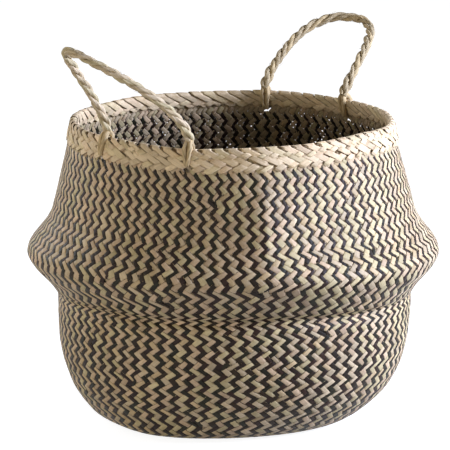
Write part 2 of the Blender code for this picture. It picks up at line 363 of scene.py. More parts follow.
def base_point(x, dx, y, offset):
    """Place of lattice coordinates on the flat base, seen from below."""
    px = (x + dx - 0.25) * BASE_CELL
    py = y * BASE_ROW
    turn = FRONT_AZIMUTH + math.pi / 2
    bx = px * math.cos(turn) - py * math.sin(turn)
    by = px * math.sin(turn) + py * math.cos(turn)
    bx = bx + LEAN_OFFSET * math.cos(LEAN_AZIMUTH)
    by = by + LEAN_OFFSET * math.sin(LEAN_AZIMUTH)
    return np.stack([bx, by, WALL / 2 - offset], axis=-1)


# Float of one strand: stations along it, lift at each, and its flat, slightly crowned section
OUT_A = np.array([-1.32, -1.08, -0.99, -0.89, -0.35, 0.35, 0.89, 0.99, 1.08, 1.32])
OUT_LIFT = np.array([-0.30, -0.25, 0.42, 0.96, 1.0, 1.0, 0.96, 0.42, -0.25, -0.30])
OUT_TAPER = np.array([0.54, 0.66, 0.95, 1.0, 1.0, 1.0, 1.0, 0.95, 0.66, 0.54])
OUT_C = np.array([-0.490, -0.40, 0.0, 0.40, 0.490, 0.40, -0.40])
OUT_H = np.array([-0.00008, 0.00006, 0.00009, 0.00006, -0.00008, -0.00036, -0.00036])
OUT_TOP = 5
IN_A = np.array([-1.25, -0.98, -0.84, 0.84, 0.98, 1.25])
IN_LIFT = np.array([-0.20, 0.05, 0.92, 0.92, 0.05, -0.20])
IN_TAPER = np.array([0.68, 0.94, 1.0, 1.0, 0.94, 0.68])
IN_C = np.array([-0.490, -0.30, 0.30, 0.490, 0.0])
IN_H = np.array([-0.00008, 0.00008, 0.00008, -0.00008, -0.00036])
IN_TOP = 4
LIFT = 0.00052
GRAIN_ALONG, GRAIN_ACROSS = 0.55, 9.0
RIM_GRAIN_ALONG, RIM_GRAIN_ACROSS = 0.7, 11.0
GRAIN_ROOM = 700.0


def floats(place, x, y, lean, side, width, lift, skew, fine=True):
    """Vertices (tile, station, section, 3) of flat strand floats. lean is +1 for / and -1 for \\."""
    a_line, l_line, taper = (OUT_A, OUT_LIFT, OUT_TAPER) if fine else (IN_A, IN_LIFT, IN_TAPER)
    c_line, h_line = (OUT_C, OUT_H) if fine else (IN_C, IN_H)
    a = a_line[None, :, None]
    c = c_line[None, None, :] * width[:, None, None] * taper[None, :, None] + skew[:, None, None] * a
    rise = l_line[None, :, None] * LIFT + lift[:, None, None] * np.clip(1.2 - np.abs(a), 0, 1)
    high = rise + h_line[None, None, :]
    dx = lean[:, None, None] * (a - c) / 2
    py = y[:, None, None] + a + c
    dx, py, high, a, c = np.broadcast_arrays(dx, py, high, a, c)
    return place(np.broadcast_to(x[:, None, None], dx.shape), dx, py, side * high), a, c


MAP_NAME = "OFBake"
MAP_MARGIN = 0.03
CAP_ROOM = 0.05
UNDER_SHARE = 0.35


def strip_quads(tiles, stations, section, flip, loop=False):
    """Quads of strips laid out as (tile, station, section), with the station and section of each corner."""
    station = np.arange(stations if loop else stations - 1)[:, None]
    ring = np.arange(section)[None, :]
    i = np.stack([station, station, station + 1, station + 1], axis=-1)
    j = np.stack([ring, ring + 1, ring + 1, ring], axis=-1)
    i, j = (grid.reshape(-1, 4) for grid in np.broadcast_arrays(i, j))
    corner = (i % stations) * section + j % section
    corner = corner[None] + np.arange(tiles)[:, None, None] * stations * section
    turned = flip[:, None, None]
    quads, i, j = (np.where(turned, grid[..., ::-1], grid) for grid in (corner, i[None], j[None]))
    return quads.reshape(-1, 4), i, j


def shares(steps):
    """Running sum of steps, from 0 to 1."""
    total = np.concatenate([[0.0], np.cumsum(steps)])
    return total / total[-1]


def strip_map(points, i, j, first, columns, rows, top, loop):
    """Map corners that give each strip its own part of the square; its hidden side gets less room."""
    tiles, stations, section = points.shape[:3]
    middle = points[:, stations // 2]
    around = np.linalg.norm(np.roll(middle, -1, axis=1) - middle, axis=-1).mean(axis=0)
    around[top - 1:] *= UNDER_SHARE
    ahead = np.linalg.norm(np.roll(points, -1, axis=1) - points, axis=-1).mean(axis=(0, 2))
    u = shares(around)[j]
    v = CAP_ROOM + (1.0 - 2 * CAP_ROOM) * shares(ahead if loop else ahead[:-1])[i]
    ring = np.arange(section) / section * math.tau
    cap_u = 0.5 + 0.45 * np.cos(ring)
    cap_v = CAP_ROOM * (0.5 + 0.4 * np.sin(ring))
    number = first + np.arange(tiles)

    def placed(u, v):
        column, row = (n.reshape((-1,) + (1,) * (u.ndim - 1)) for n in (number % columns, number // columns))
        room = 1.0 - 2 * MAP_MARGIN
        return np.stack([(column + MAP_MARGIN + room * u) / columns, (row + MAP_MARGIN + room * v) / rows],
                        axis=-1).reshape(-1, 2)

    body = placed(u, v)
    shape = (tiles, section)
    caps = [placed(np.broadcast_to(cap_u, shape), np.broadcast_to(at, shape)) for at in (cap_v, 1.0 - cap_v)]
    return body, caps


def make_mesh(name, points, faces, corners, tint, grain, material):
    """A mesh with a colour and a grain coordinate on each vertex, and a map for its strips."""
    mesh = bpy.data.meshes.new(name)
    verts = points.reshape(-1, 3)
    loops = np.concatenate([group.reshape(-1) for group in faces])
    sizes = np.concatenate([np.full(len(group), group.shape[1]) for group in faces])
    starts = np.cumsum(sizes) - sizes
    mesh.vertices.add(len(verts))
    mesh.vertices.foreach_set("co", verts.astype(np.float32).ravel())
    mesh.loops.add(len(loops))
    mesh.loops.foreach_set("vertex_index", loops.astype(np.int32))
    mesh.polygons.add(len(starts))
    mesh.polygons.foreach_set("loop_start", starts.astype(np.int32))
    mesh.update(calc_edges=True)
    mesh.uv_layers.new(name=MAP_NAME)
    mesh.uv_layers[MAP_NAME].uv.foreach_set("vector", np.concatenate(corners).astype(np.float32).ravel())
    colour = mesh.attributes.new("tint", "FLOAT_COLOR", "POINT")
    rgba = np.concatenate([tint.reshape(-1, 3), np.ones((len(verts), 1))], axis=1)
    colour.data.foreach_set("color", rgba.astype(np.float32).ravel())
    lay = mesh.attributes.new("grain", "FLOAT_VECTOR", "POINT")
    lay.data.foreach_set("vector", grain.reshape(-1, 3).astype(np.float32).ravel())
    mesh.validate()
    mesh.shade_smooth()
    mesh.materials.append(material)
    obj = bpy.data.objects.new(name, mesh)
    bpy.context.scene.collection.objects.link(obj)
    return obj


def strips(name, points, along, across, number, tint, flip, material, top):
    """One object of closed strips from (tile, station, section) vertices."""
    tiles, stations, section = shape = points.shape[:3]
    quads, i, j = strip_quads(tiles, stations, section, flip)
    start = (np.arange(tiles) * stations * section)[:, None]
    first = start + np.arange(section)[None, ::-1]
    last = start + (stations - 1) * section + np.arange(section)[None, :]
    first, last = (np.where(flip[:, None], cap[:, ::-1], cap) for cap in (first, last))
    columns = math.ceil(math.sqrt(tiles * 1.4))
    body, caps = strip_map(points, i, j, 0, columns, math.ceil(tiles / columns), top, False)
    grain = np.stack([
        np.broadcast_to(across, shape),
        np.broadcast_to(along, shape),
        np.broadcast_to(number[:, None, None], shape),
    ], axis=-1)
    colour = np.broadcast_to(tint[:, None, None, :], shape + (3,))
    return make_mesh(name, points, [quads, first, last], [body] + caps, colour, grain, material)


# Colours of single strands
NATURAL = np.array([0.508, 0.392, 0.242])
BLACK = np.array([0.0140, 0.0080, 0.0032])
# Painted shade: every strand of the inner face is made darker, for the shade inside the basket
INNER_PAINTED_SHADE = 0.76
STAIN = (0.62, 0.52, 0.36, 1.0)
RIB_HEIGHT = 0.0003
SHINE = 0.16
ROPE_TONE = np.array([0.60, 0.49, 0.325])
# Painted shade: the right handle's rope is darker and browner, for the shaded side it turns to the camera; the
# left rope keeps its colour
ROPE_PAINTED_SHADE = {"left": np.array([1.0, 1.0, 1.0]), "right": np.array([0.78, 0.74, 0.66])}


# Kinds of strand: share of strands up to which each reaches, and change of colour
NATURAL_KINDS = (
    (-1.0, 0.24, (-0.030, 0.008, -0.11)),
    (0.24, 0.50, (0.045, -0.025, -0.03)),
    (0.50, 0.60, (-0.03, -0.08, -0.18)),
)
BLACK_KINDS = ((-1.0, 0.35, (0.15, -0.12, 0.15)), (0.35, 0.60, (-0.25, 0.10, 0.00)))
NATURAL_TONE = (1.0, 0.085, 0.72, 1.3)
BLACK_TONE = (0.7, 1.5)


def by_kind(tint, kind, kinds, hue):
    """Colours changed by the kind of each strand."""
    for low, high, shift in kinds:
        tint = np.where(((kind > low) & (kind < high))[:, None], tint * (1.0 + hue * np.array(shift)), tint)
    return tint


def natural_tints(count, rng, hue=1.0):
    """Dried grass: straw, with strands that are greener, pinker, browner or paler."""
    tint = NATURAL[None] * varied(rng, *NATURAL_TONE, (count, 1))
    return by_kind(tint, rng.random(count), NATURAL_KINDS, hue)


def black_tints(count, rng):
    """Dyed strands: brown-black, plum-black or green-black."""
    tint = BLACK[None] * rng.uniform(*BLACK_TONE, (count, 1))
    return by_kind(tint, rng.random(count), BLACK_KINDS, 1.0)


def node(tree, kind, **settings):
    made = tree.nodes.new(kind)
    for key, value in settings.items():
        setattr(made, key, value)
    return made


def noise(tree, vector, scale, detail, roughness):
    """Value of a noise texture."""
    made = node(tree, "ShaderNodeTexNoise", noise_dimensions="3D")
    for key, number in (("Scale", scale), ("Detail", detail), ("Roughness", roughness)):
        made.inputs[key].default_value = number
    tree.links.new(vector, made.inputs["Vector"])
    return made.outputs["Fac"]


def map_range(tree, value, source, target):
    """Value carried from one pair of limits to another."""
    made = node(tree, "ShaderNodeMapRange")
    for key, number in zip(("From Min", "From Max", "To Min", "To Max"), (*source, *target)):
        made.inputs[key].default_value = number
    tree.links.new(value, made.inputs["Value"])
    return made.outputs["Result"]


def grass_material(name, roughness, streaks, bump, stain):
    """Dried grass: strand colour, streaks along the strand, stains, and fine ribs as bump."""
    material = bpy.data.materials.new(name)
    material.use_nodes = True
    tree = material.node_tree
    link = tree.links.new
    shader = tree.nodes["Principled BSDF"]
    tint = node(tree, "ShaderNodeAttribute", attribute_name="tint")
    grain = node(tree, "ShaderNodeAttribute", attribute_name="grain")
    ribs = noise(tree, grain.outputs["Vector"], 1.0, 3.0, 0.6)
    shade = node(tree, "ShaderNodeVectorMath", operation="SCALE")
    link(tint.outputs["Color"], shade.inputs[0])
    link(map_range(tree, ribs, (0.25, 0.75), streaks), shade.inputs["Scale"])
    place = node(tree, "ShaderNodeTexCoord")
    blotch = noise(tree, place.outputs["Object"], 180.0, 2.0, 0.5)
    mix = node(tree, "ShaderNodeMix", data_type="RGBA", blend_type="MULTIPLY")
    link(map_range(tree, blotch, (0.52, 0.78), (0.0, stain)), mix.inputs["Factor"])
    link(shade.outputs["Vector"], mix.inputs[6])
    mix.inputs[7].default_value = STAIN
    link(mix.outputs[2], shader.inputs["Base Color"])
    rough = map_range(tree, ribs, (0.0, 1.0), (roughness - 0.10, roughness + 0.12))
    link(rough, shader.inputs["Roughness"])
    relief = node(tree, "ShaderNodeBump")
    relief.inputs["Strength"].default_value = bump
    relief.inputs["Distance"].default_value = RIB_HEIGHT
    link(ribs, relief.inputs["Height"])
    link(relief.outputs["Normal"], shader.inputs["Normal"])
    shader.inputs["Specular IOR Level"].default_value = SHINE
    return material


PLAIT = grass_material("plait_grass", 0.52, (0.80, 1.20), 0.5, 0.5)
RIM_GRASS = grass_material("rim_grass", 0.60, (0.78, 1.18), 0.6, 0.6)
ROPE_GRASS = grass_material("rope_grass", 0.66, (0.66, 1.22), 0.8, 0.5)


def strand_table(rng):
    """Width and colours of every strand of one set."""
    count = CELLS
    return {
        "width": varied(rng, *STRAND_WIDTH, count),
        "natural": natural_tints(count, rng),
        "black": black_tints(count, rng),
    }


SET_UP = strand_table(RNG)
SET_DOWN = strand_table(RNG)


def lattice(first, last, inner, rng):
    """Floats of bands first to last: their places, sizes and colours."""
    bands = np.repeat(np.arange(first, last), CELLS)
    cell = np.tile(np.arange(CELLS), last - first)
    s = np.interp(2.0 * bands + 1.0, np.arange(len(ROWS)), ROWS)
    row = np.clip(((s - S_GRID[0]) / GRID_STEP).astype(int), 0, len(S_GRID) - 1)
    weight = COLUMN_WEIGHT[row, cell // 2]
    full = weight > FULL_FROM
    slim = (weight > SLIM_FROM) & ~full & (cell % 2 == 1)
    keep = full | slim
    bands, cell, row, weight, slim = bands[keep], cell[keep], row[keep], weight[keep], slim[keep]
    count = len(cell)
    lean = np.where(bands % 2 == 0, -1.0, 1.0) * (-1.0 if inner else 1.0)
    natural = cell % 2 == 0
    wide = np.where(natural, NATURAL_WIDTH[row, cell // 2], BLACK_WIDTH[row, cell // 2])
    wide = wide * np.where(slim, np.clip(2.3 * weight, 0.4, 1.15), 0.45 + 0.55 * weight)
    up = lean > 0
    strand = np.where(up, cell - bands, cell + bands) % CELLS
    width = np.where(up, SET_UP["width"][strand], SET_DOWN["width"][strand])
    width = np.clip(width * rng.normal(1.0, 0.05, count), 0.72, 1.24)
    pale = np.where(up[:, None], SET_UP["natural"][strand], SET_DOWN["natural"][strand])
    dark = np.where(up[:, None], SET_UP["black"][strand], SET_DOWN["black"][strand])
    x = np.where(slim, cell - 0.5, cell) + lean / 4 + rng.normal(0.0, 0.02, count)
    y = 2.0 * bands + 1.0 + rng.normal(0.0, 0.035, count)
    pale = pale * rng.normal(1.0, 0.05, (count, 1))
    dark = dark * rng.uniform(0.8, 1.2, (count, 1))
    lift = rng.normal(0.0, 0.00005, count) + (width - 1.0) * WIDE_LIFT + np.where(natural, *COLOUR_LIFT)
    tint = np.where((natural | (y > NATURAL_ROW))[:, None], pale, dark)
    return x, y, lean, wide, width, lift, rng.normal(0.0, 0.012, count), strand, tint


def plait_piece(name, first, last, inner, rng):
    """One ring of the plait, its outer or its inner face."""
    x, y, lean, wide, width, lift, skew, strand, tint = lattice(first, last, inner, rng)
    side = -1.0 if inner else 1.0
    number = strand * 3.7 + rng.uniform(0, 40.0, len(x))
    s = row_length(y)
    free = off_holes(azimuth_at(x, s), np.interp(s, S_LINE, Z_LINE))
    x, y, lean, wide, width, lift, skew, number, tint = (
        values[free] for values in (x, y, lean, wide, width, lift, skew, number, tint))
    points, a, c = floats(wall_placer(wide), x, y, lean, side, width, lift, skew, fine=not inner)
    # The inner face's strands take the painted shade of the basket's inside
    tint = tint * (INNER_PAINTED_SHADE if inner else 1.0)
    top = IN_TOP if inner else OUT_TOP
    return strips(name, points, a * GRAIN_ALONG, c * GRAIN_ACROSS, number, tint, lean * side < 0, PLAIT, top)


def band_at(height):
    """Band whose middle lies nearest a height."""
    return int(np.interp(length_at(height), ROWS, np.arange(len(ROWS))) / 2)


NATURAL_ROW = 2.0 * band_at(0.2765)
LAST_BAND = int((np.interp(length_at(0.2885), ROWS, np.arange(len(ROWS))) - 2.9) / 2) + 1
# Rings of the plait and the height at which each ends
OUTER_RINGS = (
    ("bowl_foot_plait", 0.030), ("bowl_low_plait", 0.070), ("bowl_plait", 0.105), ("waist_plait", 0.138),
    ("fold_plait", 0.172), ("belly_plait", 0.207), ("shoulder_plait", 0.243), ("neck_plait", None),
)
INNER_RINGS = (
    ("bowl_lining_plait", 0.116), ("fold_lining_plait", 0.172), ("wall_lining_plait", 0.235),
    ("neck_lining_plait", None),
)


def plait_rings(rings, inner, seed):
    """All rings of one face of the plait, from the base up."""
    made = {}
    first = 0
    for index, (name, top) in enumerate(rings):
        last = LAST_BAND if top is None else band_at(top)
        made[name] = plait_piece(name, first, last, inner, np.random.default_rng(seed + index))
        first = last
    return made


plait = plait_rings(OUTER_RINGS, False, 100) | plait_rings(INNER_RINGS, True, 200)


def base_piece(name, inner, rng):
    """The flat floor, a plait of the same strands, kept to a disc."""
    places = np.arange(-BASE_REACH, BASE_REACH)
    bands = np.repeat(places, 2 * BASE_REACH)
    cell = np.tile(places, 2 * BASE_REACH)
    lean = np.where(bands % 2 == 0, -1.0, 1.0)
    if inner:
        lean = -lean
    natural = (cell % 2 == 1) if inner else (cell % 2 == 0)
    x = cell + lean / 4
    y = 2.0 * bands + 1.0
    centre = base_point(x, 0.0, y, np.zeros(len(x)))
    dx = centre[:, 0] - LEAN_OFFSET * math.cos(LEAN_AZIMUTH)
    dy = centre[:, 1] - LEAN_OFFSET * math.sin(LEAN_AZIMUTH)
    keep = np.hypot(dx, dy) < BASE_RADIUS - BASE_MARGIN
    x, y, lean, natural = x[keep], y[keep], lean[keep], natural[keep]
    count = len(x)
    width = varied(rng, *BASE_WIDTH, count)
    side = -1.0 if inner else 1.0
    points, a, c = floats(base_point, x, y, lean, side, width, rng.normal(0, 0.00006, count),
                          rng.normal(0, 0.012, count), fine=False)
    points[..., 2] = np.maximum(points[..., 2], BASE_LOWEST)
    tint = np.where(natural[:, None], natural_tints(count, rng), black_tints(count, rng))
    flip = (lean * side) < 0
    number = rng.uniform(0, GRAIN_ROOM, count)
    return strips(name, points, a * GRAIN_ALONG, c * GRAIN_ACROSS, number, tint, flip, PLAIT, IN_TOP)


base_under = base_piece("base_plait", False, np.random.default_rng(301))
base_over = base_piece("base_lining_plait", True, np.random.default_rng(302))


# Rim: natural strands folded back outside and inside, and over the edge in slanted strips
RIM_CELLS = 76
RIM_STEP = math.tau / RIM_CELLS
RIM_ROW = 0.0035
RIM_SLANT = 1.84
RIM_HUE = 0.55
RIM_PALE = 1.30
RIM_LIFT = 0.0008
RIM_UNEVEN = 0.00014
RIM_PHASE = float(azimuth_at(np.array([0.0]), np.array([S_TOP]))[0])


def rim_layer(lean, height, reach, width, offset, share, phase, side, rng):
    """One row of short strips of the rim's band, tucked in at both ends."""
    cell = np.arange(RIM_CELLS)[rng.random(RIM_CELLS) < share]
    count = len(cell)
    x = cell + phase + rng.normal(0, 0.07, count)
    middle = height[0] + rng.normal(0, height[1], count)
    free = off_holes(RIM_PHASE + x * RIM_STEP, middle)
    x, middle, count = x[free], middle[free], int(free.sum())
    reach = reach * varied(rng, 1.0, 0.10, 0.75, 1.25, count)
    width = width * varied(rng, 1.0, 0.12, 0.72, 1.22, count)
    a = OUT_A[None, :, None] * reach[:, None, None]
    taper = np.clip(OUT_TAPER, 0.7, 1.0)[None, :, None]
    c = (OUT_C[None, None, :] * width[:, None, None] + rng.normal(0, 0.035, count)[:, None, None] * a) * taper
    high = OUT_LIFT[None, :, None] * RIM_LIFT + OUT_H[None, None, :]
    high = high + rng.normal(0.0, RIM_UNEVEN, count)[:, None, None]
    angle = RIM_PHASE + (x[:, None, None] + lean * (a - c) / 2) * RIM_STEP
    level = middle[:, None, None] + (a + c) * RIM_ROW
    angle, level, high, a, c = np.broadcast_arrays(angle, level, high, a, c)
    s = S_TOP + (level - WALL_TOP) * math.sqrt(1 + WALL_SLOPE ** 2)
    points = surface(s, angle, side * (offset + high))
    return points, a, c, natural_tints(count, rng, RIM_HUE), np.full(count, lean * side < 0)


def rim_band(name, layers, side, rng):
    """Rows of short strips as one object."""
    made = [rim_layer(*layer, side, rng) for layer in layers]
    points, along, across, tint, flip = (np.concatenate([m[i] for m in made]) for i in range(5))
    number = rng.uniform(0, GRAIN_ROOM, len(points))
    along, across = along * RIM_GRAIN_ALONG, across * RIM_GRAIN_ACROSS
    return strips(name, points, along, across, number, tint * RIM_PALE, flip, RIM_GRASS, OUT_TOP)


# Each row: lean, middle height and its spread, reach, width, distance from the wall's middle, share of places
# filled, and shift along the rim in cells
OUTER_ROWS = (
    (1.0, (0.2762, 0.0007), 0.66, 0.90, 0.0018, 1.0, 0.30),
    (-1.0, (0.2818, 0.0006), 0.92, 0.92, 0.0023, 1.0, 0.63),
    (1.0, (0.2866, 0.0008), 0.42, 0.80, 0.0027, 0.9, -0.20),
)
INNER_ROWS = (
    (1.0, (0.2822, 0.0006), 0.55, 0.95, 0.0018, 1.0, 0.0),
    (-1.0, (0.2843, 0.0006), 0.66, 1.00, 0.0022, 1.0, 0.5),
)
rim_out = rim_band("rim_outer_plait", OUTER_ROWS, 1.0, np.random.default_rng(401))
rim_in = rim_band("rim_inner_plait", INNER_ROWS, -1.0, np.random.default_rng(402))

EDGE_HALF_WIDE = 0.0033
EDGE_HALF_HIGH = 0.0028
EDGE_C = np.array([-0.5, -0.28, 0.28, 0.5, 0.3, -0.3])
EDGE_H = np.array([-0.00008, 0.00008, 0.00008, -0.00008, -0.0004, -0.0004])
EDGE_TOP = 4
EDGE_OUT, EDGE_OVER, EDGE_IN = 8, 8, 6
EDGE_DEPTH_OUT, EDGE_DEPTH_IN = (0.0074, 0.0006), (0.0082, 0.0006)
EDGE_SLIT = (0.40, 0.75, 0.55)
EDGE_SINK = (-0.0013, 0.72, 0.28)
EDGE_CUT = 0.006
EDGE_TURN = 0.45


def rim_strips(name, rng):
    """Strips from the outer band, over the rim's edge with a small slit between them, to the inner band."""
    rising = np.linspace(1.0, 0.0, EDGE_OUT, endpoint=False)
    falling = np.linspace(0.0, 1.0, EDGE_IN + 1)[1:]
    over = np.linspace(0.0, math.pi, EDGE_OVER)
    down = np.concatenate([rising, np.zeros(EDGE_OVER), falling])
    turn = np.concatenate([np.zeros(EDGE_OUT), over, np.full(EDGE_IN, math.pi)])
    inside = turn > math.pi / 2
    count = RIM_CELLS
    depth_out = rng.normal(*EDGE_DEPTH_OUT, count)
    depth_in = rng.normal(*EDGE_DEPTH_IN, count)
    width = varied(rng, 1.0, 0.07, 0.84, 1.14, count)
    start = RIM_PHASE + (np.arange(count) - 1.3 + rng.normal(0, 0.05, count)) * RIM_STEP
    lift = rng.normal(0.0, 0.00014, count)
    centre = RIM_HEIGHT - EDGE_HALF_HIGH - 0.0002
    middle = RIM_RADIUS + WALL_SLOPE * (WALL_TOP - centre) - WALL / 2
    out = np.zeros((count, len(turn), len(EDGE_C), 3))
    for k in range(len(turn)):
        depth = down[k] * (depth_in if inside[k] else depth_out)
        way = -1.0 if inside[k] else 1.0
        cut_off = smooth(depth / EDGE_CUT)
        normal = np.array([math.cos(turn[k]) / EDGE_HALF_WIDE, math.sin(turn[k]) / EDGE_HALF_HIGH])
        normal /= np.linalg.norm(normal)
        slit = 1.0 - EDGE_SLIT[0] * math.exp(-((turn[k] - EDGE_SLIT[1]) / EDGE_SLIT[2]) ** 2) * (down[k] == 0.0)
        sink = EDGE_SINK[0] * smooth((down[k] - EDGE_SINK[1]) / EDGE_SINK[2])
        high = EDGE_H[None, :] + 0.0003 * EDGE_C[None, :] + lift[:, None] + sink
        level = centre + EDGE_HALF_HIGH * math.sin(turn[k]) - depth[:, None] + normal[1] * high
        level = level + way * EDGE_C[None, :] * (cut_off * width)[:, None] * RIM_ROW
        radius = middle + EDGE_HALF_WIDE * math.cos(turn[k]) + normal[0] * high
        radius = radius + WALL_SLOPE * (centre - level) * (down[k] > 0)
        angle = start + way * depth * RIM_SLANT / RIM_RADIUS - (turn[k] / math.pi - 0.5) * EDGE_TURN * RIM_STEP
        angle = angle[:, None] + EDGE_C[None, :] * (width * (1.0 - 0.5 * cut_off))[:, None] * slit * RIM_STEP
        out[:, k] = settle(np.stack([radius * np.cos(angle), radius * np.sin(angle), level], axis=-1), angle)
    along = (np.arange(len(turn)) * 0.35)[None, :, None]
    across = (EDGE_C * RIM_GRAIN_ACROSS)[None, None, :]
    tint = natural_tints(count, rng, RIM_HUE) * RIM_PALE
    number = rng.uniform(0, GRAIN_ROOM, count)
    return strips(name, out, along, across, number, tint, np.ones(count, bool), RIM_GRASS, EDGE_TOP)


rim_edge = rim_strips("rim_edge_plait", np.random.default_rng(403))


# Rope handles
PLY = 0.0043
HINGE_HEIGHT = 0.30365
PULLS = (0.037, 0.049, 0.036, 0.046)
ROPE_END = 0.0072
PLIES = 3
LAY_LENGTH = 0.040
HELIX_RADIUS = 0.00235
PLY_RADIUS = 0.00212
FOOT_DRAWN = 0.005
FOOT_LOOSE = (0.012, 0.008)
LAY_WAVES = ((0.5, 0.037, 0.0), (0.3, 0.021, 1.0))
FIBRES = 46
FIBRE_START = 0.0040
FIBRE_LIFT = (0.0006, 0.0030)
FIBRE_THICK = (0.00022, 0.00007)


def handle_route(azimuth, span, reach, shift, rise, climb, tilt):
    """Middle line of a handle's rope, from the far foot to the near foot, evenly spaced."""
    far = Vector((0.0, span / 2, 0.0))
    near = Vector((0.0, -span / 2, 0.0))
    peak = Vector((reach, -shift, rise))
    rising = Vector((math.sin(tilt), 0.0, math.cos(tilt)))
    crossing = Vector((0.0, -math.cos(climb), math.sin(climb)))
    line = [far - rising * ROPE_END]
    line += interpolate_bezier(far, far + rising * PULLS[0], peak - crossing * PULLS[1], peak, 80)
    line += interpolate_bezier(peak, peak + crossing * PULLS[2], near + rising * PULLS[3], near, 80)[1:]
    line.append(near - rising * ROPE_END)
    line = np.array([[p.x, p.y, p.z] for p in line])
    length = np.concatenate([[0.0], np.cumsum(np.linalg.norm(np.diff(line, axis=0), axis=1))])
    even = np.linspace(0.0, length[-1], int(length[-1] / 0.0008))
    line = np.stack([np.interp(even, length, line[:, i]) for i in range(3)], axis=1)
    middle = math.sqrt(FOOT_RADIUS ** 2 - (span / 2) ** 2)
    cos_a, sin_a = math.cos(azimuth), math.sin(azimuth)
    x = (middle + line[:, 0]) * cos_a - line[:, 1] * sin_a
    y = (middle + line[:, 0]) * sin_a + line[:, 1] * cos_a
    return np.stack([x, y, HINGE_HEIGHT + line[:, 2]], axis=1), even


def frames(line):
    """Directions along a line, and two square to it that don't spin."""
    along = unit(np.gradient(line, axis=0))
    first = np.cross(along[0], [0.0, 0.0, 1.0])
    if np.linalg.norm(first) < 0.01:
        first = np.array([1.0, 0.0, 0.0])
    normal = [first / np.linalg.norm(first)]
    for index in range(1, len(line)):
        n = normal[-1] - along[index] * np.dot(normal[-1], along[index])
        normal.append(n / np.linalg.norm(n))
    normal = np.array(normal)
    return along, normal, np.cross(along, normal)


def ply_tube(path, length, radius, phase, rng, sides=14, twist=0.030):
    """Vertices of one ply: a bundle of leaf strips, ribbed along a slow twist."""
    _, n, b = frames(path)
    ring = np.linspace(0.0, math.tau, sides, endpoint=False)
    spin = ring[None, :] + length[:, None] / twist * math.tau + phase
    ribs = 0.10 * np.cos(3 * ring + phase)[None, :] + 0.07 * np.cos(5 * ring + 2.1 * phase)[None, :]
    uneven = 1.0 + waves(length, ((0.07, 0.013, phase * 3), (0.05, 0.0047, phase * 5)))
    r = radius[:, None] * uneven[:, None] * (1.0 + ribs + rng.normal(0, 0.018, ribs.shape))
    flat = path[:, None, :] + r[..., None] * (np.cos(spin)[..., None] * n[:, None, :]
                                              + np.sin(spin)[..., None] * b[:, None, :])
    return flat, ring


def rope_object(name, tubes, tints, rng, loop=False):
    """Joins tubes of (station, side, 3) vertices into one mesh; a loop's two ends meet."""
    points, faces, corners, colours, grains = [], [], [], [], []
    columns = len(tubes) if len(tubes) <= PLIES else math.ceil(math.sqrt(len(tubes)))
    rows = math.ceil(len(tubes) / columns)
    base = 0
    for index, ((flat, ring, length), tint) in enumerate(zip(tubes, tints)):
        stations, sides = flat.shape[:2]
        quads, i, j = strip_quads(1, stations, sides, np.array([False]), loop)
        body, caps = strip_map(flat[None], i, j, index, columns, rows, sides + 1, loop)
        faces.append(quads + base)
        corners.append(body)
        if not loop:
            end = np.arange(sides)[None, :]
            faces += [base + end[:, ::-1], base + (stations - 1) * sides + end]
            corners += caps
        points.append(flat.reshape(-1, 3))
        streak = np.cos(3 * ring) * 0.12 + np.cos(5 * ring + 1.0) * 0.10
        shade = (1.0 + streak)[None, :, None] * tint[None, None, :]
        colours.append(np.broadcast_to(shade, flat.shape).reshape(-1, 3))
        number = rng.uniform(0, 500)
        grain = np.stack(np.broadcast_arrays(ring[None, :] * 2.2, (length * 90.0)[:, None], number), axis=-1)
        grains.append(grain.reshape(-1, 3))
        base += stations * sides
    return make_mesh(name, np.concatenate(points), faces, corners, np.concatenate(colours),
                     np.concatenate(grains), ROPE_GRASS)


def stray_fibres(line, length, count, rng):
    """Fine loose fibres that lift off a rope."""
    _, n, b = frames(line)
    tubes, tints = [], []
    for _ in range(count):
        start = rng.integers(16, len(line) - 34)
        run = rng.integers(8, 16)
        turn = rng.uniform(0, math.tau)
        out = FIBRE_START + np.linspace(0, 1, run) ** 1.6 * rng.uniform(*FIBRE_LIFT)
        pick = np.arange(start, start + run)
        spin = turn - (length[pick] - length[start]) / LAY_LENGTH * math.tau
        path = line[pick] + out[:, None] * (np.cos(spin)[:, None] * n[pick] + np.sin(spin)[:, None] * b[pick])
        thick = np.linspace(*FIBRE_THICK, run)
        ring = np.linspace(0, math.tau, 4, endpoint=False)
        _, fn, fb = frames(path)
        flat = path[:, None] + thick[:, None, None] * (np.cos(ring)[None, :, None] * fn[:, None]
                                                      + np.sin(ring)[None, :, None] * fb[:, None])
        tubes.append((flat, ring, length[pick]))
        tints.append(ROPE_TONE * rng.uniform(0.8, 1.25))
    return tubes, tints


